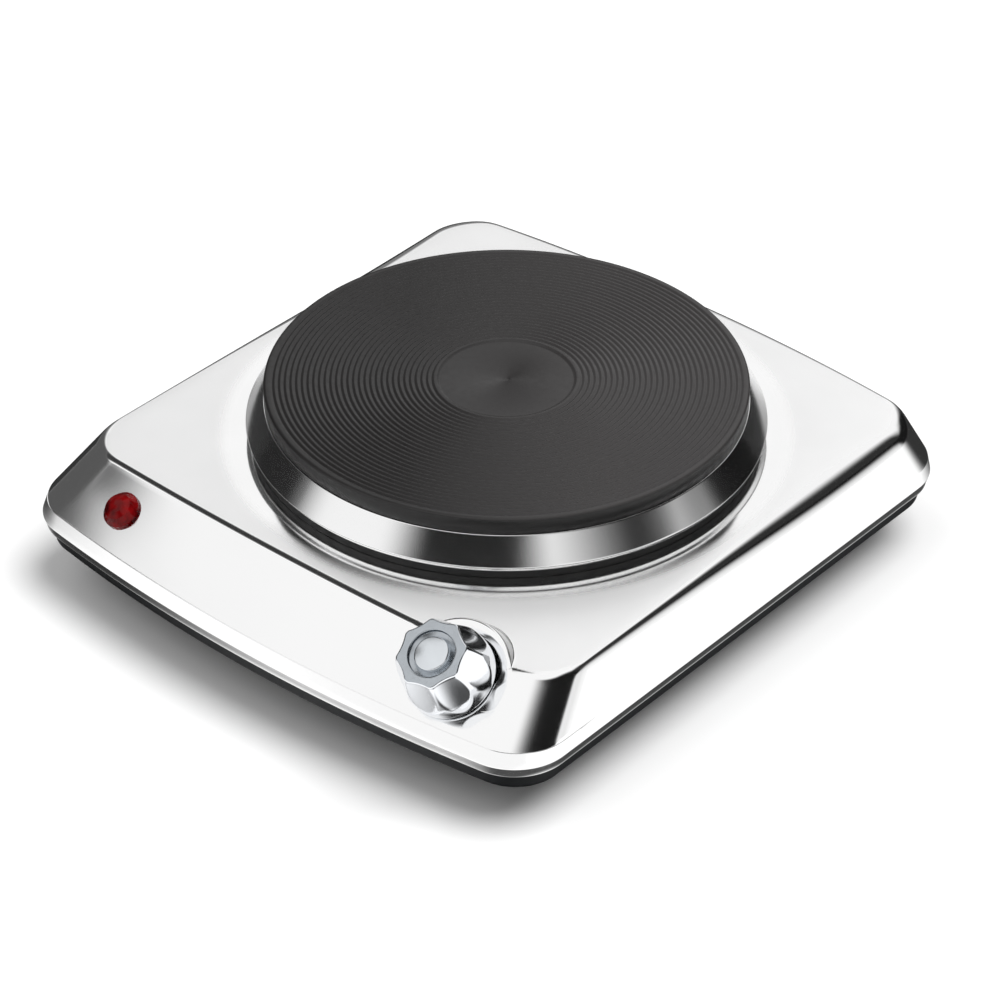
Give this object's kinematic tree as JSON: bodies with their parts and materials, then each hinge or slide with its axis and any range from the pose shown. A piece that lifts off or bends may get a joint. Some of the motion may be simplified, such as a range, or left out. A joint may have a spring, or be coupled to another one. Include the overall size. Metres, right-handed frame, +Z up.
{
  "type": "hot_plate_burner",
  "caption": "Single electric hot plate: cast-iron plate in a steel trim ring on a polished steel housing, with a thermostat knob and red pilot lamp on the sloping front.",
  "frame": {"origin": "on the table under the middle of the body", "axes": "+Z up, -Y to the front with the knob, +X to the right seen from the front"},
  "size_m": [0.198, 0.214, 0.06],
  "materials": {
    "cover_steel": "polished stainless sheet",
    "plate_iron": "black heat-proof coating, fine turned grooves",
    "tray_plastic": "fine grain",
    "foot_rubber": "matt",
    "seal_rubber": "matt",
    "knob_chrome": "bright plated",
    "lens_red": "clear red",
    "screw_steel": "zinc plated",
    "sheet_steel": "zinc plated sheet",
    "coil_sheath": "heat-tinted",
    "cement": "matt",
    "steatite": "matt",
    "brass": "plain",
    "bimetal": "plain strip",
    "lamp_plastic": "natural",
    "lamp_glass": "clear",
    "bush_plastic": "plain",
    "fuse_can": "plain",
    "sleeve_brown": "silicone",
    "sleeve_blue": "silicone",
    "sleeve_green": "silicone",
    "sleeve_white": "glass-fibre sleeve"
  },
  "bodies": {
    "housing": {"top_cover": "cover_steel", "trim_ring": "cover_steel", "hot_plate": "plate_iron", "base_tray": "tray_plastic", "foot_front_left": "foot_rubber", "foot_rear_left": "foot_rubber", "foot_front_right": "foot_rubber", "foot_rear_right": "foot_rubber", "foot_screws": "screw_steel", "cover_screws": "screw_steel", "plate_seal": "seal_rubber", "heating_coil": "coil_sheath", "coil_cement": "cement", "plate_disc": "sheet_steel", "coil_pins": "screw_steel", "pin_tubes": "steatite", "clamp_bridge": "sheet_steel", "heat_shield": "sheet_steel", "clamp_washer": "screw_steel", "clamp_nut": "screw_steel", "plate_stud": "screw_steel", "earth_ring": "brass", "earth_screw": "screw_steel", "thermostat_bush": "brass", "bush_nut": "screw_steel", "thermostat_frame": "sheet_steel", "thermostat_spacers": "steatite", "thermostat_rivet": "brass", "contact_blade": "brass", "bimetal_blade": "bimetal", "contact_points": "brass", "tab_receptacles": "brass", "lamp_lens": "lens_red", "lamp_clip": "sheet_steel", "lamp_body": "lamp_plastic", "neon_bulb": "lamp_glass", "cord_bush": "bush_plastic", "terminal_block": "steatite", "terminal_tubes": "brass", "terminal_screws": "screw_steel", "wire_element": "sleeve_white", "wire_live": "sleeve_brown", "thermal_fuse": "fuse_can", "wire_fuse": "sleeve_white", "wire_neutral": "sleeve_blue", "wire_earth": "sleeve_green", "lamp_lead_a": "sleeve_white", "lamp_lead_b": "sleeve_blue"},
    "knob": {"knob": "knob_chrome", "knob_cap": "knob_chrome", "knob_clip": "sheet_steel", "spindle": "screw_steel"},
    "push_pin": {"push_pin": "steatite"}
  },
  "joints": [
    {"name": "knob_turn", "type": "hinge", "parent": "housing", "child": "knob", "pos_m": [0.063, -0.08876, 0.03751], "axis": [-0.0387, 0.566, -0.8235], "range_deg": [0, 300]},
    {"name": "push_slide", "type": "slide", "parent": "housing", "child": "push_pin", "axis": [0.0387, -0.566, 0.8235], "range_m": [0, 0.0007]}
  ],
  "couplings": [
    {"joint": "push_slide", "follows": "knob_turn", "m_per_rad": 0.0001336}
  ]
}
